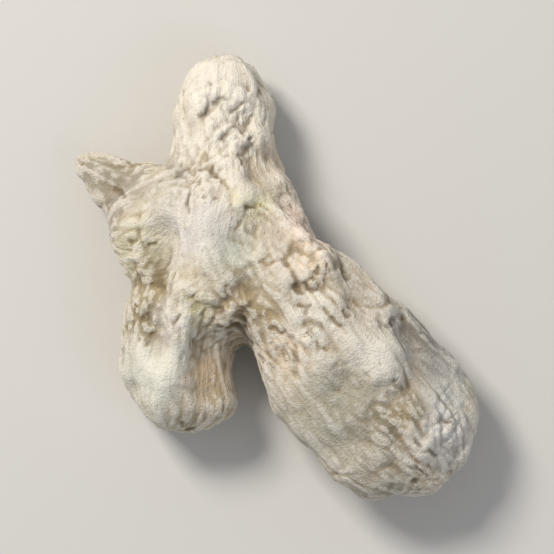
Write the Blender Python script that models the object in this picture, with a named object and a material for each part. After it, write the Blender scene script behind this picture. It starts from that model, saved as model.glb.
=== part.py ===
"""A dried ginger root, whole and unsliced, lying on its flatter side.

The rhizome is one solid. Its branches are lofted as bent, flattened rods and fused into one skin, which is then
pressed, creased and wrinkled the way the flesh shrank as it dried. Lengths are in millimetres until the last step,
which scales the mesh to metres. Looking down on the root, +X is to the right, +Y to the top, and +Z up.
"""

import math
import random

import bmesh
import bpy
import numpy as np
from mathutils import Vector, noise

# Driving dimensions
ROOT_LENGTH = 46.6
BRANCHES = {  # (x, y, z, half width, half height) along the middle of each branch, from its root to its tip
    "horn": [
        (-3.0, -1.0, 8.6, 6.0, 5.6),
        (-5.4, 3.6, 8.6, 8.6, 6.3),
        (-4.6, 9.0, 7.4, 7.9, 5.8),
        (-5.0, 13.4, 5.8, 6.3, 5.1),
        (-5.2, 18.0, 5.2, 5.0, 4.7),
    ],
    "shoulder": [
        (-4.6, 3.4, 8.0, 6.2, 5.8),
        (-8.6, 5.0, 7.4, 7.6, 5.6),
        (-11.2, 4.9, 6.6, 6.6, 5.2),
    ],
    "bud": [
        (-12.0, 7.0, 5.4, 4.8, 3.4),
        (-16.2, 9.8, 4.5, 3.3, 2.6),
        (-19.0, 11.6, 3.9, 2.1, 1.9),
    ],
    "left_leg": [
        (-6.8, 1.6, 8.4, 6.6, 5.8),
        (-9.3, -4.0, 7.0, 6.4, 5.6),
        (-9.8, -9.7, 5.6, 6.9, 5.4),
    ],
    "right_leg": [
        (-2.6, 5.0, 8.6, 6.4, 5.4),
        (1.6, -1.0, 8.8, 7.0, 6.2),
        (6.2, -7.8, 7.6, 8.9, 6.6),
        (11.5, -13.7, 6.6, 9.5, 6.4),
    ],
    "side_knob": [
        (7.4, -2.6, 7.4, 2.4, 2.6),
        (8.8, -1.1, 7.2, 1.4, 1.5),
    ],
}
# The cleft between the legs, cut by a level blade that reaches deeper on its way: first a groove, then a gap
CLEFT = [
    (-3.6, -3.8, 15.0, 0.8, 3.9),
    (-3.5, -5.4, 15.0, 1.1, 5.8),
    (-3.4, -6.8, 15.0, 1.4, 9.6),
    (-3.2, -8.2, 15.0, 1.6, 16.0),
    (-2.9, -10.0, 15.0, 1.7, 21.0),
    (-2.2, -13.4, 15.0, 1.9, 21.0),
    (-2.4, -20.0, 15.0, 3.4, 21.0),
]
CLEFT_CALM = (0.8, 3.6)  # the relief is nothing at the first distance from the cleft and full at the second
FEET = ((-5.0, 16.0), (-10.2, -9.6), (11.0, -13.0))
FOOT_REACH = 4.0
FOOT_SPREAD = 6.0
FOOT_TOP = (7.0, 3.0)  # a foot's pull is nothing over the first height and full under the second
FOOT_FLAT = 0.42
SKIN_TRIANGLES = 11400

# Fineness of the skin while it is shaped
SKIN_VOXEL = 0.34
MELT_ROUNDS = 16
LIGHT_MELT_ROUNDS = 3
RING_POINTS = 36
RING_STEP = 0.7

# Shrinkage: broad hollows between low crests, folds that run along every branch, and leaf scars that ring it
BRANCH_PULL = 6  # how sharply the folds turn from one branch to the next
HOLLOW_SIZE = 9.0
HOLLOW_DEPTH = 0.5
HOLLOW_WANDER = 0.35
FOLD_ACROSS = 3.2
FOLD_ALONG = 12.0
FOLD_HEIGHT = 0.5
FOLD_WANDER = 0.6
CALM_PATCH_SIZE = 7.0
SCAR_SPACING = 4.4
SCAR_WIDTH = 0.75
SCAR_DEPTH = 0.30
SCAR_WANDER = 0.35

# Flat pressed faces: (point on the face, outward direction, softness of its edge, reach from the point)
PRESS_SHARE = 0.85
FULL_PRESS_SHARE = 0.4  # of the reach, inside which the face is pressed fully
PRESSED = [
    ((17.0, -8.8, 8.9), (0.60, 0.36, 0.70), 0.8, 10.0),
    ((11.0, -15.0, 12.4), (-0.05, -0.22, 0.97), 0.9, 10.0),
    ((-8.5, 6.0, 13.8), (-0.30, 0.10, 0.95), 0.8, 10.0),
    ((-16.0, -9.5, 6.4), (-0.90, -0.10, 0.42), 0.8, 10.0),
    ((2.6, -18.4, 5.0), (-0.60, -0.76, 0.22), 0.9, 10.0),
    ((2.4, 8.5, 6.4), (0.88, 0.40, 0.20), 0.9, 10.0),
    ((-13.6, -14.0, 5.4), (-0.68, -0.73, 0.05), 0.8, 10.0),
    ((-6.8, -8.6, 9.4), (0.55, -0.10, 0.80), 0.9, 5.8),
    ((-0.4, 12.4, 8.7), (0.66, 0.18, 0.73), 0.8, 7.0),
]

# Ridges (height over 0) and creases (under 0) of the upper side: (height, half width, points from end to end)
STROKE_WANDER = 0.55
STROKE_BENDS = 2.6
UPPER_STROKES = [
    (-0.60, 1.6, [(-2.4, 7.2), (-3.0, 2.4), (-3.6, -1.6)]),
    (-1.50, 1.1, [(-11.2, 5.0), (-12.2, 0.6), (-12.8, -3.6), (-12.0, -7.4)]),
    (-0.55, 1.1, [(-10.4, 13.0), (-9.0, 10.2), (-9.4, 7.4)]),
    (-0.50, 0.8, [(0.8, 4.6), (3.9, 0.8), (8.2, -2.2)]),
    (-0.50, 0.7, [(-1.4, 1.0), (2.4, -3.0), (5.2, -7.4)]),
    (-0.65, 1.2, [(11.6, -4.4), (13.6, -6.8), (14.1, -10.2), (16.0, -13.2)]),
    (-0.45, 1.1, [(0.4, -7.4), (3.0, -12.2), (6.8, -17.8)]),
    (-0.45, 0.9, [(-7.0, -1.6), (-7.2, -6.0), (-6.8, -11.4)]),
    (0.95, 1.5, [(0.4, 9.6), (1.8, 6.2), (3.6, 3.0), (6.4, -1.4)]),
    (0.90, 1.7, [(-7.4, 9.2), (-6.8, 4.4), (-7.4, -0.6)]),
    (0.75, 1.4, [(-9.6, -0.8), (-9.8, -5.4), (-10.6, -10.4)]),
    (0.50, 1.2, [(1.8, -9.0), (4.6, -13.8), (8.4, -18.4)]),
]
LOWER_STROKES = [
    (-0.9, 1.3, [(-6.0, 12.0), (-6.8, 5.0), (-4.6, -1.0), (0.8, -5.0), (5.0, -11.0)]),
    (-0.8, 1.1, [(-1.6, 8.4), (0.6, 2.2), (5.4, -2.4), (11.0, -7.2)]),
    (-0.7, 1.0, [(-12.6, 3.4), (-11.4, -1.8), (-8.4, -5.4)]),
    (0.7, 1.4, [(-3.6, 10.0), (-2.6, 3.6), (2.2, -2.6), (7.8, -8.0)]),
    (0.6, 1.3, [(-9.6, 5.8), (-8.8, 0.2), (-11.2, -5.6)]),
]

# Small round features of the upper side: (x, y, radius, height)
KNOBS = [
    (-3.0, 8.0, 1.3, 0.65),
    (2.5, -0.6, 0.8, -0.85),
    (4.4, 1.4, 0.9, 0.45),
    (-13.6, -4.6, 0.9, -0.7),
    (-12.8, 2.6, 0.8, -0.55),
    (-7.6, 0.0, 0.8, -0.5),
    (18.0, -15.0, 1.2, 0.4),
    (15.6, -17.2, 1.1, 0.4),
    (-7.8, 18.6, 1.5, 0.45),
]

# Flat-topped lumps of the upper side, with a step all round: (x, y, radius, height)
LUMPS = [(9.6, -7.8, 2.8, 0.4), (11.4, -8.3, 2.7, 0.85)]

# The knobbly patch on the horn
HORN_PATCH = (-3.9, 14.2)
HORN_PATCH_RADIUS = 4.6
HORN_KNOBS = 22
HORN_KNOB_RISES = (-0.5, -0.35, 0.4)
HORN_KNOB_RADII = (0.55, 0.85)

# Upper-side patches that dried smooth: (x, y, radius)
SMOOTH_SHARE = 0.75
SMOOTH_PATCHES = [
    (-7.0, 4.0, 3.4),
    (-12.0, -10.0, 5.0),
    (4.8, -13.6, 6.2),
    (10.4, -8.4, 3.4),
    (15.8, -7.8, 4.6),
    (-5.4, 20.4, 3.4),
]


def curve_through(points, step):
    """A smooth curve through the rows of points, cut into pieces of about this length."""
    rows = [points[0], *points, points[-1]]
    curve = []
    for before, start, end, after in zip(rows, rows[1:], rows[2:], rows[3:]):
        pieces = max(2, round(np.linalg.norm((end - start)[:2]) / step))
        for piece in range(pieces):
            t = piece / pieces
            bend = 2 * before - 5 * start + 4 * end - after
            turn = 3 * start - before - 3 * end + after
            curve.append(start + 0.5 * ((end - before) * t + bend * t**2 + turn * t**3))
    curve.append(points[-1])
    return np.array(curve)


class Branch:
    """A bent, flattened rod: its middle line, its half width and height, and the directions across it."""

    def __init__(self, stations):
        line = curve_through(np.array(stations, float), RING_STEP)
        self.middle, self.half_width, self.half_height = line[:, :3], line[:, 3], line[:, 4]
        tangent = np.gradient(self.middle, axis=0)
        self.tangent = tangent / np.linalg.norm(tangent, axis=1)[:, None]
        across = np.cross((0.0, 0.0, 1.0), self.tangent)
        self.across = across / np.linalg.norm(across, axis=1)[:, None]
        self.up = np.cross(self.tangent, self.across)
        pieces = np.linalg.norm(np.diff(self.middle, axis=0), axis=1)
        self.length_at = np.concatenate([[0.0], np.cumsum(pieces)])

    def sections(self):
        """(centre, index, scale) of each ring from end to end, with the ends rounded off."""
        domes = []
        for end, sign in ((0, -1.0), (-1, 1.0)):
            reach = self.half_width[end]
            turns = (0.97, 0.86, 0.68, 0.46, 0.24)
            centres = [self.middle[end] + self.tangent[end] * sign * reach * turn for turn in turns]
            domes.append([(c, end, math.sqrt(1 - turn**2)) for c, turn in zip(centres, turns)])
        body = [(self.middle[k], k, 1.0) for k in range(len(self.middle))]
        return domes[0] + body + domes[1][::-1]

    def loft(self, bm):
        """Adds the rod to bm as one closed tube."""
        tube = []
        for centre, k, scale in self.sections():
            ring = []
            for point in range(RING_POINTS):
                angle = 2 * math.pi * point / RING_POINTS
                sideways = self.across[k] * self.half_width[k] * math.cos(angle)
                upward = self.up[k] * self.half_height[k] * math.sin(angle)
                ring.append(bm.verts.new(centre + (sideways + upward) * scale))
            tube.append(ring)
        for low, high in zip(tube, tube[1:]):
            for point in range(RING_POINTS):
                after = (point + 1) % RING_POINTS
                bm.faces.new((low[point], low[after], high[after], high[point]))
        bm.faces.new(tube[0][::-1])
        bm.faces.new(tube[-1])

    def place_of(self, points):
        """For each point: its length along the branch, its offsets across and up, its distance in radii."""
        near = np.linalg.norm(points[:, None] - self.middle[None], axis=2).argmin(axis=1)
        offset = points - self.middle[near]
        beyond = (offset * self.tangent[near]).sum(axis=1)
        across = (offset * self.across[near]).sum(axis=1)
        up = (offset * self.up[near]).sum(axis=1)
        radii = np.sqrt((across / self.half_width[near]) ** 2 + (up / self.half_height[near]) ** 2)
        past_end = np.maximum(0, np.abs(beyond) - RING_STEP) / self.half_width[near]
        return self.length_at[near] + beyond, across, up, np.hypot(radii, past_end)


def clear_scene():
    for obj in list(bpy.data.objects):
        bpy.data.objects.remove(obj)


def new_object(name, mesh):
    obj = bpy.data.objects.new(name, mesh)
    bpy.context.scene.collection.objects.link(obj)
    return obj


def apply_modifiers(obj):
    graph = bpy.context.evaluated_depsgraph_get()
    mesh = bpy.data.meshes.new_from_object(obj.evaluated_get(graph))
    obj.modifiers.clear()
    obj.data = mesh


def lofted(name, branches):
    """The branches as closed tubes in one mesh object, still overlapping."""
    bm = bmesh.new()
    for branch in branches:
        branch.loft(bm)
    bmesh.ops.recalc_face_normals(bm, faces=bm.faces)
    mesh = bpy.data.meshes.new(name)
    bm.to_mesh(mesh)
    bm.free()
    return new_object(name, mesh)


def add_fuse(skin):
    fuse = skin.modifiers.new("fuse", "REMESH")
    fuse.mode = "VOXEL"
    fuse.voxel_size = SKIN_VOXEL


def add_melt(skin, rounds):
    melt = skin.modifiers.new("melt", "SMOOTH")
    melt.factor = 0.5
    melt.iterations = rounds


def fused_skin(branches):
    """The branches as one closed skin, with the cleft cut out, softened where they grow into each other."""
    skin = lofted("ginger_root", branches.values())
    cutter = lofted("cleft_cutter", [Branch(CLEFT)])
    add_fuse(skin)
    cut = skin.modifiers.new("cleft", "BOOLEAN")
    cut.operation = "DIFFERENCE"
    cut.object = cutter
    add_fuse(skin)
    add_melt(skin, MELT_ROUNDS)
    apply_modifiers(skin)
    bpy.data.objects.remove(cutter)
    return skin


def bodies_of(bm):
    """The vertices of each connected body of the mesh, the smallest body first."""
    unseen = set(bm.verts)
    bodies = []
    while unseen:
        waiting = [unseen.pop()]
        body = list(waiting)
        while waiting:
            beside = {vertex for edge in waiting.pop().link_edges for vertex in edge.verts} & unseen
            unseen -= beside
            body.extend(beside)
            waiting.extend(beside)
        bodies.append(body)
    return sorted(bodies, key=len)


def drop_crumbs(skin):
    """Keeps the largest body of the skin and deletes the crumbs and bubbles beside it."""
    bm = bmesh.new()
    bm.from_mesh(skin.data)
    for crumb in bodies_of(bm)[:-1]:
        bmesh.ops.delete(bm, geom=crumb, context="VERTS")
    bm.to_mesh(skin.data)
    bm.free()


def points_and_normals(mesh):
    points = np.empty(len(mesh.vertices) * 3)
    mesh.vertices.foreach_get("co", points)
    normals = np.empty(len(mesh.vertices) * 3)
    mesh.vertices.foreach_get("normal", normals)
    return points.reshape(-1, 3), normals.reshape(-1, 3)


def set_points(mesh, points):
    mesh.vertices.foreach_set("co", points.ravel())
    mesh.update()


def raise_along_normals(skin, height_of):
    """Moves each point of the skin out by height_of(points, normals), and less inside the narrow cleft."""
    points, normals = points_and_normals(skin.data)
    cleft = [station[:2] for station in CLEFT]
    height = height_of(points, normals) * fade(distance_to_path(points[:, :2], cleft), *CLEFT_CALM)
    set_points(skin.data, points + normals * height[:, None])


def noise_at(rows):
    return np.array([noise.noise(Vector(row)) for row in rows])


def fade(value, low, high):
    """0 at low and 1 at high, with a smooth run between."""
    t = np.clip((value - low) / (high - low), 0, 1)
    return t * t * (3 - 2 * t)


def crest(values, roundness=0.08):
    """Folded noise: near 1 on narrow rounded crests, lower in the wide hollows between them."""
    return 1 - np.sqrt(values**2 + roundness**2) * 3.0


def distance_to_path(flat_points, path):
    """Distance from each (x, y) point to the line through the path's points."""
    path = curve_through(np.array(path, float), 1.0)
    best = np.full(len(flat_points), np.inf)
    for start, end in zip(path, path[1:]):
        run = end - start
        share = np.clip((flat_points - start) @ run / (run @ run), 0, 1)
        best = np.minimum(best, np.linalg.norm(flat_points - start - share[:, None] * run, axis=1))
    return best


def press_flat(skin):
    """Presses the skin against soft flat faces, as roots dry against their neighbours."""
    points, _ = points_and_normals(skin.data)
    for place, outward, softness, reach in PRESSED:
        outward = np.array(outward) / np.linalg.norm(outward)
        above = (points - place) @ outward
        near = fade(np.linalg.norm(points - place, axis=1), reach, FULL_PRESS_SHARE * reach)
        excess = softness * np.log1p(np.exp(np.clip(above / softness, -30, 30)))
        points = points - outward * (excess * near * PRESS_SHARE)[:, None]
    set_points(skin.data, points)


def hollows(points, normals):
    """Broad hollows with low crests between them."""
    rows = points / HOLLOW_SIZE
    wander = np.stack([noise_at(rows + 5), noise_at(rows + 9), noise_at(rows + 13)], axis=1)
    return (crest(noise_at(rows + HOLLOW_WANDER * wander), 0.05) - 0.45) * HOLLOW_DEPTH


def strokes(points, normals):
    """The named ridges and creases of the upper and the lower side."""
    height = np.zeros(len(points))
    for side, drawn in ((1, UPPER_STROKES), (-1, LOWER_STROKES)):
        facing = fade(side * normals[:, 2], 0.05, 0.5)
        rows = points / STROKE_BENDS
        wander = STROKE_WANDER * np.stack([noise_at(rows), noise_at(rows + 40)], axis=1)
        for rise, half_width, path in drawn:
            apart = distance_to_path(points[:, :2] + wander, path)
            height += facing * rise * np.exp(-((apart / half_width) ** 2))
    for x, y, radius, rise in KNOBS:
        apart = np.hypot(points[:, 0] - x, points[:, 1] - y)
        height += fade(normals[:, 2], 0.0, 0.4) * rise * np.exp(-((apart / radius) ** 2))
    for x, y, radius, rise in LUMPS:
        apart = np.hypot(points[:, 0] - x, points[:, 1] - y)
        height += fade(normals[:, 2], 0.0, 0.4) * rise * np.exp(-((apart / radius) ** 4))
    return height


def folds(branches, points, normals):
    """Height of the shrinkage folds and leaf scars, which follow the branches and merge where they meet."""
    total = np.zeros(len(points))
    weights = np.zeros(len(points))
    for number, branch in enumerate(branches.values()):
        along, across, up, radii = branch.place_of(points)
        weight = np.exp(-BRANCH_PULL * radii**2) + 1e-9
        wander = FOLD_WANDER * noise_at(points / 5.0 + number)
        lengthwise = along / FOLD_ALONG + 7 * number
        rows = np.stack([across / FOLD_ACROSS + wander, up / FOLD_ACROSS, lengthwise], axis=1)
        coarse = crest(noise_at(rows))
        fine = crest(noise_at(rows * (1.6, 1.6, 1.4) + 31), 0.15)
        ring = along / SCAR_SPACING + SCAR_WANDER * noise_at(points / 4.0 + 50)
        scar = np.exp(-((((ring + 0.5) % 1 - 0.5) * SCAR_SPACING / SCAR_WIDTH) ** 2))
        total += weight * ((0.7 * coarse + 0.3 * fine - 0.45) * FOLD_HEIGHT - scar * SCAR_DEPTH)
        weights += weight
    strength = 0.45 + 0.75 * fade(noise_at(points / CALM_PATCH_SIZE + 20), -0.25, 0.3)
    for x, y, radius in SMOOTH_PATCHES:
        apart = np.hypot(points[:, 0] - x, points[:, 1] - y)
        strength *= 1 - SMOOTH_SHARE * fade(normals[:, 2], 0.1, 0.6) * np.exp(-((apart / radius) ** 2))
    return total / weights * strength


def horn_patch(points, normals):
    """The knobbly patch on the upper side of the horn: small knobs with pits between them."""
    facing = fade(normals[:, 2], 0.1, 0.6)
    height = np.zeros(len(points))
    choose = random.Random(4)
    for _ in range(HORN_KNOBS):
        angle, reach = choose.uniform(0, 2 * math.pi), HORN_PATCH_RADIUS * math.sqrt(choose.uniform(0, 1))
        place = (HORN_PATCH[0] + reach * math.cos(angle), HORN_PATCH[1] + reach * math.sin(angle))
        apart = np.hypot(points[:, 0] - place[0], points[:, 1] - place[1])
        rise, radius = choose.choice(HORN_KNOB_RISES), choose.uniform(*HORN_KNOB_RADII)
        height += rise * np.exp(-((apart / radius) ** 2))
    return height * facing


def level_feet(skin):
    """Brings the three lowest places to one level."""
    points, _ = points_and_normals(skin.data)
    lower = fade(points[:, 2], *FOOT_TOP)
    for x, y in FEET:
        apart = np.hypot(points[:, 0] - x, points[:, 1] - y)
        lowest = points[apart < FOOT_REACH, 2].min()
        points[:, 2] -= lowest * lower * np.exp(-((apart / FOOT_SPREAD) ** 2))
    set_points(skin.data, points)


def cut_feet_flat(skin):
    """Takes a thin slice off the underside, which leaves a small flat spot on each foot."""
    points, _ = points_and_normals(skin.data)
    points[:, 2] = np.maximum(points[:, 2] - points[:, 2].min() - FOOT_FLAT, 0)
    set_points(skin.data, points)


def reduce_triangles(skin):
    thin = skin.modifiers.new("thin", "DECIMATE")
    thin.ratio = SKIN_TRIANGLES / sum(len(face.vertices) - 2 for face in skin.data.polygons)
    thin.use_collapse_triangulate = True
    apply_modifiers(skin)


def centre_and_scale(skin):
    """Puts the middle of the box over the origin, the feet at height 0, and the size in metres."""
    points, _ = points_and_normals(skin.data)
    low, high = points.min(axis=0), points.max(axis=0)
    scale = ROOT_LENGTH / (high[1] - low[1]) / 1000
    middle = ((low[0] + high[0]) / 2, (low[1] + high[1]) / 2, low[2])
    set_points(skin.data, (points - middle) * scale)


def dried_skin_material():
    material = bpy.data.materials.new("dried_ginger_skin")
    material.use_nodes = True
    shader = material.node_tree.nodes["Principled BSDF"]
    shader.inputs["Base Color"].default_value = (0.58, 0.51, 0.39, 1)
    shader.inputs["Roughness"].default_value = 0.85
    return material


def ginger_root():
    branches = {name: Branch(stations) for name, stations in BRANCHES.items()}
    skin = fused_skin(branches)
    press_flat(skin)
    add_melt(skin, LIGHT_MELT_ROUNDS)
    apply_modifiers(skin)
    raise_along_normals(skin, hollows)
    raise_along_normals(skin, strokes)
    raise_along_normals(skin, lambda points, normals: folds(branches, points, normals))
    raise_along_normals(skin, horn_patch)
    add_fuse(skin)
    add_melt(skin, LIGHT_MELT_ROUNDS)
    apply_modifiers(skin)
    drop_crumbs(skin)
    level_feet(skin)
    reduce_triangles(skin)
    cut_feet_flat(skin)
    centre_and_scale(skin)
    skin.data.materials.append(dried_skin_material())
    skin.data.shade_smooth()
    return skin


def main():
    clear_scene()
    ginger_root()


if __name__ == "__main__":
    main()
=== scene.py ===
import math
import random

import bpy
import numpy as np
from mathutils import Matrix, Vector, noise


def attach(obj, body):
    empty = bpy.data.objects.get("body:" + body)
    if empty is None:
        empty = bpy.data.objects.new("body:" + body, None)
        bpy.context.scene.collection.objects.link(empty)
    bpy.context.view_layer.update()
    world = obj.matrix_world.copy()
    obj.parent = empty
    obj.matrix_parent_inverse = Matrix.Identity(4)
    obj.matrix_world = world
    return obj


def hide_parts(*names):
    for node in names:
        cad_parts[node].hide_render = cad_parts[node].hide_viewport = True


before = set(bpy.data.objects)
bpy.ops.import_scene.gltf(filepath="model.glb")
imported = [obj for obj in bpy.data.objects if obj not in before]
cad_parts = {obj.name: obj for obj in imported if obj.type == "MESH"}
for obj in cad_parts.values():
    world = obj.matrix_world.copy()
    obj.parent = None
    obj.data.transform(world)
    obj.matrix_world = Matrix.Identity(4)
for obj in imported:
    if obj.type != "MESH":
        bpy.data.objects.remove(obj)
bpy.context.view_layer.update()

# The dried flesh
# A ginger rhizome is a clump of thick, bent stems that grow out of one another underground. This one was
# scraped, dusted with lime and dried whole, so it is one hard piece. Its skin is worked here in millimetres.

MM = 1000
MERGE_MM = 0.0005
SKIN_VOXEL_MM = 0.226
SKIN_MELT_ROUNDS = 9
BRANCH_STEP_MM = 0.6
LEAST_RADIUS = 0.12  # the share of a branch's radius that a point's girth is at least scaled by
BRANCH_PULL = 12  # how sharply the grain turns from one branch to the next
LEAST_SHARE = 0.004  # of a branch in a point, below which its pattern isn't worked out there
PARTS = 20  # that the points are measured in, to save memory

BRANCH_LINES_MM = {  # (x, y, z, half width, half height) along the middle of each branch, to its tip
    "horn": [(-3.2, -1.2, 8.2, 6.0, 5.6), (-5.6, 3.5, 8.2, 8.6, 6.3), (-4.8, 8.9, 7.0, 7.8, 5.8),
             (-5.3, 13.4, 5.4, 6.2, 5.1), (-5.4, 18.0, 4.8, 5.0, 4.7)],
    "shoulder": [(-4.8, 3.3, 7.6, 6.2, 5.8), (-8.9, 4.9, 7.0, 7.6, 5.6), (-11.9, 4.7, 6.2, 6.7, 5.2)],
    "bud": [(-12.3, 6.9, 5.0, 4.8, 3.4), (-16.6, 9.7, 4.1, 3.3, 2.6), (-19.4, 11.5, 3.5, 2.1, 1.9)],
    "short_leg": [(-7.0, 1.4, 8.0, 6.6, 5.8), (-9.6, -4.2, 6.6, 6.4, 5.6), (-10.1, -10.0, 5.2, 6.9, 5.4)],
    "long_leg": [(-2.8, 4.9, 8.2, 6.4, 5.4), (1.4, -1.2, 8.4, 7.0, 6.2), (6.1, -8.1, 7.2, 8.9, 6.6),
                 (11.4, -14.0, 6.2, 9.5, 6.4)],
}


def smooth_line(points, step):
    """A smooth curve through the rows of points, cut into pieces of about this length."""
    rows = [points[0], *points, points[-1]]
    line = []
    for before, start, end, after in zip(rows, rows[1:], rows[2:], rows[3:]):
        pieces = max(2, round(np.linalg.norm((end - start)[:2]) / step))
        for piece in range(pieces):
            t = piece / pieces
            bend = 2 * before - 5 * start + 4 * end - after
            turn = 3 * start - before - 3 * end + after
            line.append(start + 0.5 * ((end - before) * t + bend * t**2 + turn * t**3))
    line.append(points[-1])
    return np.array(line)


class Branch:
    """The middle line of one branch, with its half width and height and the directions across it."""

    def __init__(self, stations):
        line = smooth_line(np.array(stations, float), BRANCH_STEP_MM)
        self.middle, self.half_width, self.half_height = line[:, :3], line[:, 3], line[:, 4]
        tangent = np.gradient(self.middle, axis=0)
        self.tangent = tangent / np.linalg.norm(tangent, axis=1)[:, None]
        across = np.cross((0.0, 0.0, 1.0), self.tangent)
        self.across = across / np.linalg.norm(across, axis=1)[:, None]
        self.up = np.cross(self.tangent, self.across)
        steps = np.linalg.norm(np.diff(self.middle, axis=0), axis=1)
        self.length_at = np.concatenate([[0.0], np.cumsum(steps)])

    def place_of(self, points):
        """Each point's length along the branch, its place on the girth across and up, its distance in radii
        from the middle, and how many radii it lies past the end."""
        near = np.concatenate([
            np.linalg.norm(part[:, None] - self.middle[None], axis=2).argmin(axis=1)
            for part in np.array_split(points, PARTS)
        ])
        offset = points - self.middle[near]
        beyond = (offset * self.tangent[near]).sum(axis=1)
        across = (offset * self.across[near]).sum(axis=1)
        up = (offset * self.up[near]).sum(axis=1)
        radii = np.sqrt((across / self.half_width[near]) ** 2 + (up / self.half_height[near]) ** 2)
        past_end = np.maximum(0, np.abs(beyond) - BRANCH_STEP_MM) / self.half_width[near]
        girth = np.maximum(radii, LEAST_RADIUS)
        along = self.length_at[near] + beyond
        return along, across / girth, up / girth, np.hypot(radii, past_end), past_end


def apply_modifiers(obj):
    graph = bpy.context.evaluated_depsgraph_get()
    obj.data = bpy.data.meshes.new_from_object(obj.evaluated_get(graph))
    obj.modifiers.clear()


def refined_copy(node):
    """A copy of the frame's solid, in millimetres, as an even skin of small faces."""
    skin = bpy.data.objects.new("ginger_skin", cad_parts[node].data.copy())
    bpy.context.scene.collection.objects.link(skin)
    skin.data.transform(((MM, 0, 0, 0), (0, MM, 0, 0), (0, 0, MM, 0), (0, 0, 0, 1)))
    join = skin.modifiers.new("join", "WELD")
    join.merge_threshold = MERGE_MM
    rounder = skin.modifiers.new("rounder", "SUBSURF")
    rounder.levels = rounder.render_levels = 1
    even = skin.modifiers.new("even", "REMESH")
    even.mode = "VOXEL"
    even.voxel_size = SKIN_VOXEL_MM
    melt = skin.modifiers.new("melt", "SMOOTH")
    melt.factor = 0.5
    melt.iterations = SKIN_MELT_ROUNDS
    apply_modifiers(skin)
    return skin


def skin_points(skin):
    points = np.empty(len(skin.data.vertices) * 3)
    skin.data.vertices.foreach_get("co", points)
    normals = np.empty(len(skin.data.vertices) * 3)
    skin.data.vertices.foreach_get("normal", normals)
    return points.reshape(-1, 3), normals.reshape(-1, 3)


def move_skin(skin, points):
    skin.data.vertices.foreach_set("co", points.ravel())
    skin.data.update()


skin = refined_copy("ginger_root")
branches = {name: Branch(stations) for name, stations in BRANCH_LINES_MM.items()}
points, normals = skin_points(skin)
places = {name: branch.place_of(points) for name, branch in branches.items()}
# How much each branch rules the grain at each point. The shares of a point add up to 1.
pull = np.stack([np.exp(-BRANCH_PULL * place[3] ** 2) + 1e-12 for place in places.values()])
pull /= pull.sum(axis=0)
edges = np.empty(len(skin.data.edges) * 2, np.int64)
skin.data.edges.foreach_get("vertices", edges)
edges = edges.reshape(-1, 2)

# Shrinkage folds
# As the flesh lost most of its water the skin became too large for it, and folded along each branch: low
# rounded crests with narrow grooves between them, which fork, fade and start again, and finer ones over them.

FOLD_ACROSS_MM, FOLD_ALONG_MM, FOLD_RISE_MM = 2.7, 12.0, 0.30
FOLD_MIDDLE = 0.6  # the share of a fold's height that lies at the level of the solid
GROOVE_ACROSS_MM, GROOVE_ALONG_MM, GROOVE_DEPTH_MM = 1.9, 9.0, 0.20
WRINKLE_ACROSS_MM, WRINKLE_ALONG_MM, WRINKLE_DEPTH_MM = 0.95, 5.5, 0.13
CALM_PLACES_MM = [  # (x, y, radius) of the upper-side places that dried almost smooth
    (-5.4, 20.8, 2.8), (-0.4, 12.0, 2.4), (-6.8, 5.6, 2.4), (-6.0, 2.4, 2.8), (-14.8, 9.2, 2.4),
    (-13.4, 6.6, 2.2), (-12.4, -10.6, 4.4), (-6.2, -10.2, 3.0), (4.8, -14.4, 5.8), (9.4, -20.4, 3.0),
    (10.3, -8.2, 2.6), (16.8, -8.0, 4.4),
]
DIMPLE_MM, SMALL_DIMPLE_MM = 2.3, 1.0  # on the branch tips, where the folds run out
DIMPLE_RISE_MM = 0.22
RIB_ACROSS_MM, RIB_ALONG_MM, RIB_DEPTH_MM = 1.5, 9.0, 0.10  # of the grooves that run close together
RIBBED_PLACES_MM = [(4.6, -3.4, 3.4), (2.0, -7.0, 2.4), (-6.4, -8.0, 3.2)]


def noise_at(rows):
    return np.array([noise.noise(Vector(row)) for row in rows])


def drift(size_mm, seed=0):
    """Noise that changes over about this many millimetres of skin."""
    return noise_at(points / size_mm + seed)


def strayed(reach_mm, size_mm, seeds):
    """A shift for each point, which makes the border of a place wander: one column for each seed."""
    return reach_mm * np.stack([drift(size_mm, seed) for seed in seeds], axis=1)


def fade(value, low, high):
    """0 at low and 1 at high, with a smooth run between."""
    t = np.clip((value - low) / (high - low), 0, 1)
    return t * t * (3 - 2 * t)


def pillow(values, roundness=0.08):
    """Folded noise: near 1 on broad rounded folds, 0 in the narrow valleys between them."""
    return 1 - np.exp(-2.6 * (np.sqrt(values**2 + roundness**2) - roundness) / 0.35)


def groove(values, half_width=0.17):
    """1 in the middle of a narrow groove, 0 on the broad bands between the grooves."""
    return np.exp(-((values / half_width) ** 2))


def along_branches(across_mm, along_mm, seed, shape):
    """A pattern drawn along every branch and merged where branches meet."""
    total = np.zeros(len(points))
    for number, (place, share) in enumerate(zip(places.values(), pull)):
        here = share > LEAST_SHARE
        along, across, up = (column[here] for column in place[:3])
        wander = 0.5 * noise_at(points[here] / (2.2 * across_mm) + 11 * number + seed)
        rows = np.stack([across / across_mm + wander, up / across_mm - wander, along / along_mm], axis=1)
        total[here] += share[here] * shape(noise_at(rows + 17 * number + seed))
    return total


def near_places(places_mm, softness=1.0):
    """1 at the middle of each upper-side place and 0 outside it, with a wandering border."""
    shifted = points[:, :2] + strayed(0.8, 2.1, (3, 43))
    total = np.zeros(len(points))
    for x, y, radius in places_mm:
        apart = np.linalg.norm(shifted - (x, y), axis=1) / radius
        total = np.maximum(total, np.exp(-((apart / softness) ** 4)))
    return total * fade(normals[:, 2], -0.1, 0.35)


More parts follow.
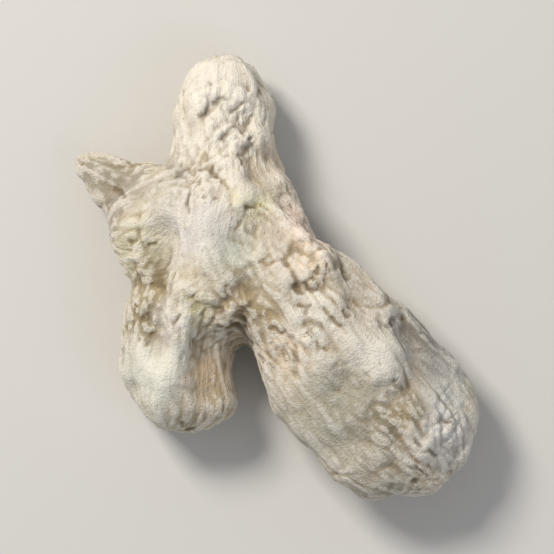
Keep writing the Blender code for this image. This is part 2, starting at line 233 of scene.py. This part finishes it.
# The folds are deeper in some places than in others, low in the calm ones, and run out at the branch tips.
lower_calm = fade(drift(7.0, 61), 0.12, 0.38) * fade(-normals[:, 2], 0, 0.4)
calm = np.maximum(near_places(CALM_PLACES_MM), lower_calm)
tips = sum(share * fade(place[4], 0.45, 0.85) for place, share in zip(places.values(), pull))
strength = (0.45 + 0.75 * fade(drift(5.5, 20), -0.25, 0.3)) * (1 - 0.75 * calm) * (1 - tips)

folds = along_branches(FOLD_ACROSS_MM, FOLD_ALONG_MM, 3.1, pillow)
grooves = along_branches(GROOVE_ACROSS_MM, GROOVE_ALONG_MM, 8.7, groove)
grooves *= fade(drift(2.6, 70), -0.35, 0.2)
wrinkles = along_branches(WRINKLE_ACROSS_MM, WRINKLE_ALONG_MM, 5.9, groove)
wrinkles *= fade(drift(1.9, 90), -0.2, 0.3)
ribs = along_branches(RIB_ACROSS_MM, RIB_ALONG_MM, 23.0, groove) * near_places(RIBBED_PLACES_MM)
dimples = pillow(drift(DIMPLE_MM, 301)) + 0.5 * pillow(drift(SMALL_DIMPLE_MM, 311)) - 0.9

rise = (folds - FOLD_MIDDLE) * FOLD_RISE_MM - grooves * GROOVE_DEPTH_MM - wrinkles * WRINKLE_DEPTH_MM
rise = rise * strength - ribs * RIB_DEPTH_MM
rise += tips * dimples * DIMPLE_RISE_MM

# Leaf scars
# Scale leaves, thin and papery, sat round the branches every few millimetres. Each left a ring when it was
# scraped off: a thin step, worn away in places.

SCAR_SPACING_MM = 4.3
SCAR_WIDTH_MM = 0.34
SCAR_DEPTH_MM = 0.13

scars = np.zeros(len(points))
for number, (place, share) in enumerate(zip(places.values(), pull)):
    ring = place[0] / SCAR_SPACING_MM + 0.45 * drift(3.4, 50 + number)
    apart = ((ring + 0.5) % 1 - 0.5) * SCAR_SPACING_MM / SCAR_WIDTH_MM
    scars += share * np.exp(-(apart**2))
scars *= fade(drift(3.1, 75), -0.1, 0.3) * (1 - 0.5 * calm)
rise -= scars * SCAR_DEPTH_MM

# Crumpled and knobbly places
# Where the skin was thickest it dried crumpled, with granules, short splits and ragged gaps between its folds:
# on the broken end of the horn, over the shoulder and its crease, by the cleft, and on the long leg.

CRUMPLE_MM, CRUMPLE_RISE_MM = 1.7, 0.30
SMALL_CRUMPLE_MM, SMALL_CRUMPLE_RISE_MM = 0.95, 0.15
GRANULE_MM, GRANULE_RISE_MM = 1.25, 0.40
SPLIT_ACROSS_MM, SPLIT_ALONG_MM, SPLIT_DEPTH_MM = 1.4, 3.2, 0.26
GAP_ACROSS_MM, GAP_ALONG_MM, GAP_DEPTH_MM = 1.5, 2.1, 0.15
KNOBBLY_PLACES_MM = [  # (x, y, radius) of the roughest ones
    (-5.2, 17.2, 3.0), (-4.6, 14.4, 2.8), (-7.8, 11.6, 2.4), (3.4, 3.6, 2.2), (3.0, 0.4, 2.4),
    (-13.0, 0.4, 2.0), (-13.4, -4.6, 2.2), (-4.2, -3.2, 2.4), (17.0, -16.2, 2.9),
]


def granules(size_mm, seed):
    """The height from 0 to 1 of uneven granules about this far apart."""
    wander = strayed(0.42, 1.4 * size_mm, (seed + 1, seed + 5, seed + 9))
    height = np.empty(len(points))
    for index, row in enumerate(points / size_mm + wander + seed):
        apart, _ = noise.voronoi(Vector(row))
        height[index] = 1 - apart[0] ** 2 - 0.35 * math.exp(-(((apart[1] - apart[0]) / 0.22) ** 2))
    return height


def crumpled(size_mm, seed):
    """Low folds with no main direction, drawn out a little along each branch."""
    return along_branches(size_mm, 1.7 * size_mm, seed, lambda values: pillow(values, 0.1))


# Smaller crumpled patches lie between the rough places, all over the root.
patchy = fade(drift(4.6, 31) + 0.5 * drift(1.9, 35), 0.08, 0.32)
knobbly = np.maximum(near_places(KNOBBLY_PLACES_MM, 1.1), 0.55 * patchy * (1 - calm))
granular = knobbly * fade(drift(2.3, 200), -0.3, 0.2)
roughness = 0.25 + 0.75 * knobbly
rise *= 1 - 0.45 * knobbly
rise += roughness * (crumpled(CRUMPLE_MM, 12.4) - FOLD_MIDDLE) * CRUMPLE_RISE_MM
rise += roughness * (crumpled(SMALL_CRUMPLE_MM, 16.8) - FOLD_MIDDLE) * SMALL_CRUMPLE_RISE_MM
rise += granular * (granules(GRANULE_MM, 4.0) - FOLD_MIDDLE) * GRANULE_RISE_MM

splits = along_branches(SPLIT_ACROSS_MM, SPLIT_ALONG_MM, 44.0, lambda values: groove(values, 0.13))
splits *= fade(drift(1.7, 240), 0.20, 0.40) * fade(knobbly, 0.1, 0.6)
gaps = along_branches(GAP_ACROSS_MM, GAP_ALONG_MM, 71.0, lambda values: fade(values, -0.04, 0.26))
gaps *= near_places(KNOBBLY_PLACES_MM) * (1 - calm)
rise -= splits * SPLIT_DEPTH_MM + gaps * GAP_DEPTH_MM

# Root scars
# The thin feeding roots grew mostly from the sides and the underside. They were rubbed off once dry, and each
# left a small ragged dish with a low rim.

ROOT_SCARS = 18
ROOT_SCAR_RADIUS_MM = (0.55, 0.95)
ROOT_SCAR_RIM_MM, ROOT_SCAR_DEPTH_MM = 0.10, 0.16
LOWEST_SCAR_MM = 1.2  # so that none lies on the flat spots that the root stands on

root_scars = np.zeros(len(points))
choose = random.Random(11)
lower_side = np.flatnonzero((normals[:, 2] < 0.25) & (points[:, 2] > LOWEST_SCAR_MM))
ragged = strayed(0.35, 0.9, (401, 407, 413))
for _ in range(ROOT_SCARS):
    place = points[lower_side[choose.randrange(len(lower_side))]]
    apart = np.linalg.norm(points + ragged - place, axis=1) / choose.uniform(*ROOT_SCAR_RADIUS_MM)
    rise += ROOT_SCAR_RIM_MM * np.exp(-(((apart - 1) / 0.3) ** 2))
    rise -= ROOT_SCAR_DEPTH_MM * np.exp(-((apart / 0.6) ** 2))
    root_scars = np.maximum(root_scars, np.exp(-((apart / 0.62) ** 4)))

# Cork flakes
# Cork is the thin brown outer bark. The knife took it off most of the root and left torn flakes, which stand
# up by less than a tenth of a millimetre.

FLAKE_MM, FLAKE_RISE_MM = 3.8, 0.07

cork = fade(drift(FLAKE_MM, 120) + 0.45 * drift(1.1, 130) + 0.2 * drift(0.6), 0.16, 0.30)
cork *= 1 - 0.8 * calm
rise += cork * FLAKE_RISE_MM

# Pits, cracks and swellings of the upper side
# The skin cracked where it folded over itself, and has pits where a root or a scale leaf sat. Both are coloured
# dark, partly for the dirt in them and partly as painted shade inside them. Two low swellings show where the
# flesh shrank less.

PITS_MM = [  # (x, y of one end, x, y of the other end, half width)
    (-7.9, 16.7, -6.9, 17.5, 0.34), (-6.2, 18.3, -5.5, 18.6, 0.28), (-4.6, 17.4, -3.8, 18.0, 0.26),
    (-5.5, 14.4, -4.5, 15.7, 0.32), (-3.4, 15.5, -3.0, 16.5, 0.28), (-3.4, 12.8, -2.7, 13.7, 0.36),
    (-8.0, 11.0, -6.9, 11.4, 0.36), (-10.4, 10.7, -9.5, 11.0, 0.34), (-3.1, 7.2, -2.5, 7.4, 0.28),
    (-12.9, -0.7, -12.1, 0.3, 0.46), (-14.2, -4.5, -13.6, -4.0, 0.46), (-13.6, -6.9, -13.1, -6.1, 0.40),
    (-3.4, -3.4, -2.8, -3.0, 0.42), (-5.0, -5.6, -4.6, -4.9, 0.40), (-6.5, -3.9, -5.6, -3.6, 0.28),
    (2.2, -0.8, 4.1, -1.2, 0.27), (2.0, -2.8, 3.1, -3.1, 0.24), (-0.5, -5.3, 0.4, -5.7, 0.30),
    (5.7, -4.2, 6.3, -5.0, 0.24), (7.0, -3.3, 7.5, -4.1, 0.22), (-15.2, 3.6, -14.6, 3.9, 0.26),
    (-13.0, 3.2, -12.4, 3.5, 0.26), (-16.9, 9.2, -16.2, 8.7, 0.28),
    (14.4, -15.2, 15.0, -16.1, 0.26), (17.2, -14.6, 18.0, -15.0, 0.24), (15.8, -18.0, 16.5, -18.6, 0.26),
]
PIT_DEPTH_MM = 0.20
SWELLINGS_MM = [(11.7, -4.4, 1.3, 0.25), (-7.7, -3.4, 1.5, 0.35)]  # (x, y, radius, rise)


def near_strokes(strokes_mm):
    """1 in the middle of each short upper-side stroke, and 0 outside its ragged border."""
    shifted = points[:, :2] + strayed(0.45, 0.8, (7, 57))
    total = np.zeros(len(points))
    for x, y, end_x, end_y, half_width in strokes_mm:
        run = np.array((end_x - x, end_y - y))
        offset = shifted - (x, y)
        share = np.clip(offset @ run / (run @ run), 0, 1)
        apart = np.linalg.norm(offset - share[:, None] * run, axis=1) / half_width
        total = np.maximum(total, np.exp(-(apart**2)))
    return total * fade(normals[:, 2], -0.1, 0.3)


pits = near_strokes(PITS_MM)
rise -= pits * PIT_DEPTH_MM
for x, y, radius, swelling in SWELLINGS_MM:
    rise += near_places([(x, y, radius)]) * swelling

# Lime
# The root was dusted with slaked lime while damp, to keep insects off. It stayed thickest on the broad outward
# places, and is too thin to change the shape.

CHALKY_PLACES_MM = [  # (x, y, radius) of the upper-side places with the most lime
    (-6.6, 20.0, 3.6), (-4.4, 16.2, 3.4), (-9.4, 14.0, 2.0), (-8.0, 5.0, 2.8), (-11.2, 5.4, 1.6),
    (-11.2, -4.4, 1.8), (-13.0, -10.0, 3.8), (10.6, -8.4, 2.8), (17.0, -16.2, 2.8),
]
chalk = near_places(CHALKY_PLACES_MM, 1.1)

# The worked skin
# All the relief above is in one thin layer of skin over the flesh. It fades out towards the level that the root
# stands on, so the three flat spots under it stay flat.

FLAT_BELOW_MM = 0.7

points = points + normals * (rise * fade(points[:, 2], 0.0, FLAT_BELOW_MM))[:, None]
points[:, 2] = np.maximum(points[:, 2], 0)
move_skin(skin, points)
points, normals = skin_points(skin)

# Stains and tones
# Dirt and cork stayed in the low places and lime on the high ones, and the broad hollows are also darkened as
# painted shade, so the skin keeps how high each point stands over its surroundings, and where the relief was
# drawn. Its colour changes slowly from place to place, and a few of its patches are partly painted shade or
# painted light.


def averaged(values, rounds):
    """The values, each mixed with those of its neighbours on the skin, this many times."""
    degree = np.bincount(edges.ravel(), minlength=len(points))
    for _ in range(rounds):
        total = np.stack([
            np.bincount(edges[:, 0], column[edges[:, 1]], len(points))
            + np.bincount(edges[:, 1], column[edges[:, 0]], len(points))
            for column in values.T
        ], axis=1)
        values = 0.4 * values + 0.6 * total / degree[:, None]
    return values


SKIN_TONES = {  # the colour of each tone, and the (x, y, radius) in millimetres of its upper-side patches
    "bone": ("#ece2d0", [(-6.6, 11.6, 3.6), (-13.0, 7.4, 3.6)]),
    # Painted light: the cream patch at (0.6, 9.8) is lighter than the skin, for the light that its steep flank
    # misses.
    "cream": ("#fbf3e2", [
        (-6.2, 19.6, 4.4), (-4.2, 15.2, 3.6), (10.8, -8.2, 3.0), (0.6, 9.8, 2.2), (4.6, -4.4, 3.2)]),
    "beige": ("#e2d2bb", [(-0.6, 12.4, 3.0)]),
    "chalk_green": ("#e2e5d4", [(-13.0, -10.0, 4.2)]),
    "putty": ("#bcb8a2", [(5.2, -14.2, 5.0)]),
    # Painted shade: the khaki patch at the shorter leg's tip is partly the shade of neighbouring roots.
    "khaki": ("#b3a586", [(-9.2, -14.6, 2.4)]),
    "sage": ("#c5c8b8", [(-5.0, 2.4, 2.9)]),
    "moss": ("#cbc6a0", [(-14.2, 3.4, 2.8)]),
    "pale_sage": ("#cfcbbc", [(-11.0, 5.2, 2.4), (-10.2, 9.8, 2.0)]),
    "lilac": ("#dad5d8", [(-8.2, 5.4, 2.8)]),
    "pale_lilac": ("#e9e4e8", [(-11.2, -4.4, 1.9), (17.0, -16.2, 2.9)]),
    # Painted light: the pink patch is partly the skin's own pink and partly lightened for the light its steep
    # flank misses.
    "pink": ("#ffe0d0", [(3.0, 5.2, 2.6)]),
    "peach": ("#fbe6cb", [(3.2, 1.8, 2.4), (0.9, -7.8, 2.3), (-4.9, -9.2, 1.9)]),
    "tan": ("#dabb92", [(-7.4, -10.2, 2.3)]),
    # Painted shade: the brown patch at (-5.4, -13.2), by the shorter leg's tip, is partly the shade of
    # neighbouring roots.
    "brown": ("#ad9872", [(-3.6, -2.8, 3.4), (-0.8, -3.8, 1.9), (-5.4, -13.2, 2.4)]),
    "olive": ("#a59c74", [(-13.2, -0.8, 2.1)]),
    "dark_olive": ("#877848", [(-13.4, -4.6, 2.3), (13.2, -14.2, 2.4)]),
    # Painted light: the straw patch at (-8.2, -3.1) is partly the skin's own straw colour and partly lightened
    # against the shade of the shelf above the cleft.
    "straw": ("#f0e9b8", [(-2.6, 7.7, 1.8), (-8.2, -3.1, 2.0)]),
    # Painted shade: the grey patch on the long leg's turned-away facet is partly the skin's grey and partly
    # painted shade, and the dark grey one at the facet's upper end also paints the shadow of a neighbouring
    # root.
    "grey": ("#94908b", [(16.8, -8.0, 3.8)]),
    "dark_grey_and_painted_shade": ("#75716c", [(14.3, -5.1, 2.5)]),
    "silver": ("#dbdad4", [(18.6, -11.6, 2.6)]),
    # Painted shade: the drab patches darken the low, turned-away bud and the lower edges of the long leg,
    # partly as shade.
    "drab_and_painted_shade": ("#958c78", [(9.8, -14.6, 3.0), (10.4, -21.2, 3.0), (-17.2, 10.2, 4.0)]),
}
BASE_TINT = "#d6ccba"  # between the patches
UNDER_TINT = "#c9b899"  # of the underside, a little darker and warmer than the upper side
FINE_ROUNDS, BROAD_ROUNDS = 12, 90  # of averaging, which reach about 0.6 mm and 1.7 mm over the skin


def linear(hex_colour):
    """A hex colour as linear red, green, blue and alpha."""
    shares = [int(hex_colour[i : i + 2], 16) / 255 for i in (1, 3, 5)]
    return (*(c / 12.92 if c <= 0.04045 else ((c + 0.055) / 1.055) ** 2.4 for c in shares), 1)


def store(name, values, kind="FLOAT", field="value"):
    layer = skin.data.attributes.new(name, kind, "POINT")
    layer.data.foreach_set(field, np.ascontiguousarray(values, np.float32).ravel())


store("fine_height", ((points - averaged(points, FINE_ROUNDS)) * normals).sum(axis=1))
store("broad_height", ((points - averaged(points, BROAD_ROUNDS)) * normals).sum(axis=1))
store("groove", np.clip(np.maximum(grooves, 0.7 * wrinkles) * strength + 0.6 * scars + 0.8 * ribs, 0, 1))
store("split", np.maximum(splits, 0.6 * root_scars))
store("cork", cork)
store("gap", gaps)
store("pit", pits)
store("chalk", chalk)
store("grain_clear", fade(pull.max(axis=0), 0.6, 0.95) * (1 - tips))
grain = sum(share[:, None] * np.stack(place[:3], axis=1) for place, share in zip(places.values(), pull))
store("grain", grain[:, (1, 2, 0)], "FLOAT_VECTOR", "vector")

upper = fade(normals[:, 2] + 0.3 * drift(3.0), -0.35, 0.25)[:, None]
tint = np.array(linear(UNDER_TINT)) * (1 - upper) + np.array(linear(BASE_TINT)) * upper
shifted = points[:, :2] + strayed(1.3, 2.7, (150, 190))
for colour, patches in SKIN_TONES.values():
    for x, y, radius in patches:
        apart = np.linalg.norm(shifted - (x, y), axis=1) / radius
        share = (0.85 * np.exp(-(apart**2.4)))[:, None] * upper
        tint = tint * (1 - share) + np.array(linear(colour)) * share
store("tint", tint, "FLOAT_COLOR", "color")

skin.data.transform(((1 / MM, 0, 0, 0), (0, 1 / MM, 0, 0), (0, 0, 1 / MM, 0), (0, 0, 0, 1)))
skin.data.shade_smooth()
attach(skin, "root")
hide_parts("ginger_root")

# Scraped and limed rhizome skin
# Dry rhizome skin, with its cork scraped off by knife and dusted with slaked lime. To the eye it is matt and
# chalky, with a faint sheen of powder, tan in the creases and where the knife missed, and without gloss. In the
# broad creases the tan is partly painted shade.

FIBRE_ACROSS_MM, FIBRE_ALONG_MM = 0.39, 3.1  # bundles of fibres, which show through the skin
POWDER_GRAIN_MM = 0.24  # clumps of lime, drawn coarser than real so that they show
SOIL_SPECK_MM = 0.6  # from speck to speck
STAIN_MM, BROAD_STAIN_MM = 1.4, 3.9  # the cool and the warm ones
RELIEF_MM = 0.26  # of fibres and powder together, drawn deeper than real so that it shows


def add(tree, kind, links=None, **settings):
    """Adds a node. Settings are its own properties, and links fill its sockets with a value or an output."""
    node = tree.nodes.new(kind)
    for name, value in settings.items():
        setattr(node, name, value)
    for socket, value in (links or {}).items():
        target = node.inputs[socket]
        if isinstance(value, bpy.types.NodeSocket):
            tree.links.new(value, target)
        else:
            target.default_value = value
    return node


def scraped_skin():
    material = bpy.data.materials.new("scraped_limed_skin")
    material.use_nodes = True
    tree = material.node_tree
    shader = tree.nodes["Principled BSDF"]
    masks = ("fine_height", "broad_height", "groove", "split", "cork", "gap", "pit", "chalk", "grain_clear")
    mask = {name: add(tree, "ShaderNodeAttribute", attribute_name=name).outputs["Fac"] for name in masks}
    tint = add(tree, "ShaderNodeAttribute", attribute_name="tint").outputs["Color"]
    grain = add(tree, "ShaderNodeAttribute", attribute_name="grain").outputs["Vector"]
    place = add(tree, "ShaderNodeTexCoord").outputs["Object"]

    fibre_scale = (1 / FIBRE_ACROSS_MM, 1 / FIBRE_ACROSS_MM, 1 / FIBRE_ALONG_MM)
    fibre_rows = add(tree, "ShaderNodeMapping", {"Vector": grain, "Scale": fibre_scale}).outputs[0]
    fibres = add(tree, "ShaderNodeTexNoise", {"Vector": fibre_rows, "Scale": 1, "Detail": 4}).outputs["Fac"]
    powder, mottle, blotch, soil = (
        add(tree, "ShaderNodeTexNoise", {"Vector": place, "Scale": MM / size, "Detail": detail}).outputs["Fac"]
        for size, detail in ((POWDER_GRAIN_MM, 4), (STAIN_MM, 5), (BROAD_STAIN_MM, 5), (SOIL_SPECK_MM, 2))
    )

    fibre_light = add(tree, "ShaderNodeMapRange", {
        "Value": fibres, "From Min": 0.32, "From Max": 0.68, "To Min": 0.86, "To Max": 1.08}).outputs[0]
    fibre_share = add(tree, "ShaderNodeMix", {0: mask["grain_clear"], 2: 1.0, 3: fibre_light}).outputs[0]
    colour = add(tree, "ShaderNodeHueSaturation", {"Color": tint, "Value": fibre_share}).outputs[0]

    bare = add(tree, "ShaderNodeMapRange", {"Value": mask["chalk"], "To Min": 1.0, "To Max": 0.45}).outputs[0]
    warm = add(tree, "ShaderNodeMapRange", {
        "Value": blotch, "From Min": 0.52, "From Max": 0.72, "To Max": 0.35}).outputs[0]
    cool = add(tree, "ShaderNodeMapRange", {
        "Value": mottle, "From Min": 0.55, "From Max": 0.75, "To Max": 0.35}).outputs[0]
    line = add(tree, "ShaderNodeMapRange", {
        "Value": mask["groove"], "From Min": 0.2, "From Max": 0.9, "To Max": 0.70}).outputs[0]
    broken = add(tree, "ShaderNodeMapRange", {"Value": mottle, "From Min": 0.35, "From Max": 0.6}).outputs[0]
    # Painted shade: the broad hollows turn ochre-brown, partly for the dirt in them and partly for the shade
    # there.
    deep = add(tree, "ShaderNodeMapRange", {
        "Value": mask["broad_height"], "From Min": -0.18, "From Max": -0.60, "To Max": 0.6}).outputs[0]
    low = add(tree, "ShaderNodeMapRange", {
        "Value": mask["fine_height"], "From Min": -0.02, "From Max": -0.10, "To Max": 0.58}).outputs[0]
    gap = add(tree, "ShaderNodeMapRange", {
        "Value": mask["gap"], "From Min": 0.1, "From Max": 0.9, "To Max": 0.34}).outputs[0]
    high = add(tree, "ShaderNodeMapRange", {
        "Value": mask["fine_height"], "From Min": 0.0, "From Max": 0.05}).outputs[0]
    caught = add(tree, "ShaderNodeMapRange", {
        "Value": powder, "From Min": 0.30, "From Max": 0.70, "To Min": 0.25, "To Max": 0.75}).outputs[0]
    lime = add(tree, "ShaderNodeMath", {0: high, 1: caught}, operation="MULTIPLY").outputs[0]
    soil = add(tree, "ShaderNodeMapRange", {
        "Value": soil, "From Min": 0.66, "From Max": 0.76, "To Max": 0.5}).outputs[0]
    # Painted shade: splits, root scars and pits turn dark brown, partly for their dirt and partly for the shade
    # inside them.
    hole = add(tree, "ShaderNodeMath", {0: mask["split"], 1: mask["pit"]}, operation="MAXIMUM").outputs[0]
    hole = add(tree, "ShaderNodeMapRange", {
        "Value": hole, "From Min": 0.1, "From Max": 0.9, "To Max": 0.6}).outputs[0]

    # The stains, from the undermost up: each one's share, what that is scaled by, and its colour. The one of
    # the broad hollows and the one of the holes are partly painted shade.
    for share, scale, stain in (
        (warm, bare, "#cbb497"), (cool, 1.0, "#a9a39a"), (mask["cork"], 0.33, "#b7a17c"),
        (line, broken, "#8d7754"), (deep, bare, "#84704c"), (low, bare, "#938265"), (gap, 1.0, "#8b7c64"),
        (mask["chalk"], 0.38, "#f2ede1"), (lime, 1.0, "#f3eee2"), (soil, 1.0, "#7d6a4e"),
        (hole, 1.0, "#6e5a3f"),
    ):
        share = add(tree, "ShaderNodeMath", {0: share, 1: scale}, operation="MULTIPLY").outputs[0]
        links = {0: share, 6: colour, 7: linear(stain)}
        colour = add(tree, "ShaderNodeMix", links, data_type="RGBA").outputs[2]
    tree.links.new(colour, shader.inputs["Base Color"])

    shader.inputs["Roughness"].default_value = 0.9
    shader.inputs["Sheen Weight"].default_value = 0.12
    shader.inputs["Sheen Roughness"].default_value = 0.6
    shader.inputs["Specular IOR Level"].default_value = 0.3
    height = add(tree, "ShaderNodeMath", {0: fibres, 1: 1.3, 2: powder}, operation="MULTIPLY_ADD").outputs[0]
    bump = add(tree, "ShaderNodeBump", {"Height": height, "Strength": 0.7, "Distance": RELIEF_MM / MM})
    tree.links.new(bump.outputs["Normal"], shader.inputs["Normal"])
    return material


skin.data.materials.clear()
skin.data.materials.append(scraped_skin())

# The floor, the light and the camera
# A plain pale floor, a soft key light from the upper left with a weak fill from the lower right, and a camera
# that looks straight down from well above.

FLOOR_SIZE = 3.0

floor_mesh = bpy.data.meshes.new("floor")
half = FLOOR_SIZE / 2
corners = [(-half, -half, 0), (half, -half, 0), (half, half, 0), (-half, half, 0)]
floor_mesh.from_pydata(corners, [], [(0, 1, 2, 3)])
floor = bpy.data.objects.new("floor", floor_mesh)
bpy.context.scene.collection.objects.link(floor)
floor_paint = bpy.data.materials.new("pale_floor")
floor_paint.use_nodes = True
floor_shader = floor_paint.node_tree.nodes["Principled BSDF"]
floor_shader.inputs["Base Color"].default_value = linear("#d8d6d2")
floor_shader.inputs["Roughness"].default_value = 0.9
floor.data.materials.append(floor_paint)


def aim(obj, target):
    obj.rotation_mode = "QUATERNION"
    obj.rotation_quaternion = (Vector(target) - obj.location).to_track_quat("-Z", "Y")


def soft_light(name, location, size, watts, colour):
    lamp = bpy.data.lights.new(name, "AREA")
    lamp.size, lamp.energy, lamp.color = size, watts, linear(colour)[:3]
    light = bpy.data.objects.new(name, lamp)
    light.location = location
    bpy.context.scene.collection.objects.link(light)
    aim(light, (0, 0, 0.007))


soft_light("key", (-0.22, 0.24, 0.34), 0.14, 1.90, "#fff9f0")
soft_light("fill", (0.35, -0.25, 0.40), 0.40, 0.45, "#eef3ff")
world = bpy.data.worlds.new("studio")
bpy.context.scene.world = world
world.use_nodes = True
sky = world.node_tree.nodes["Background"]
sky.inputs["Color"].default_value = linear("#e8ebef")
sky.inputs["Strength"].default_value = 0.38
bpy.context.scene.view_settings.view_transform = "Standard"

CAMERA_HEIGHT = 0.60
FRAME_WIDTH = 0.0585  # of the floor in the picture, in metres

camera = bpy.data.objects.new("camera", bpy.data.cameras.new("camera"))
bpy.context.scene.collection.objects.link(camera)
camera.location = (0, 0, CAMERA_HEIGHT)
camera.data.sensor_width = 36
camera.data.lens = 36 * CAMERA_HEIGHT / FRAME_WIDTH
camera.data.clip_start = 0.01
bpy.context.scene.camera = camera
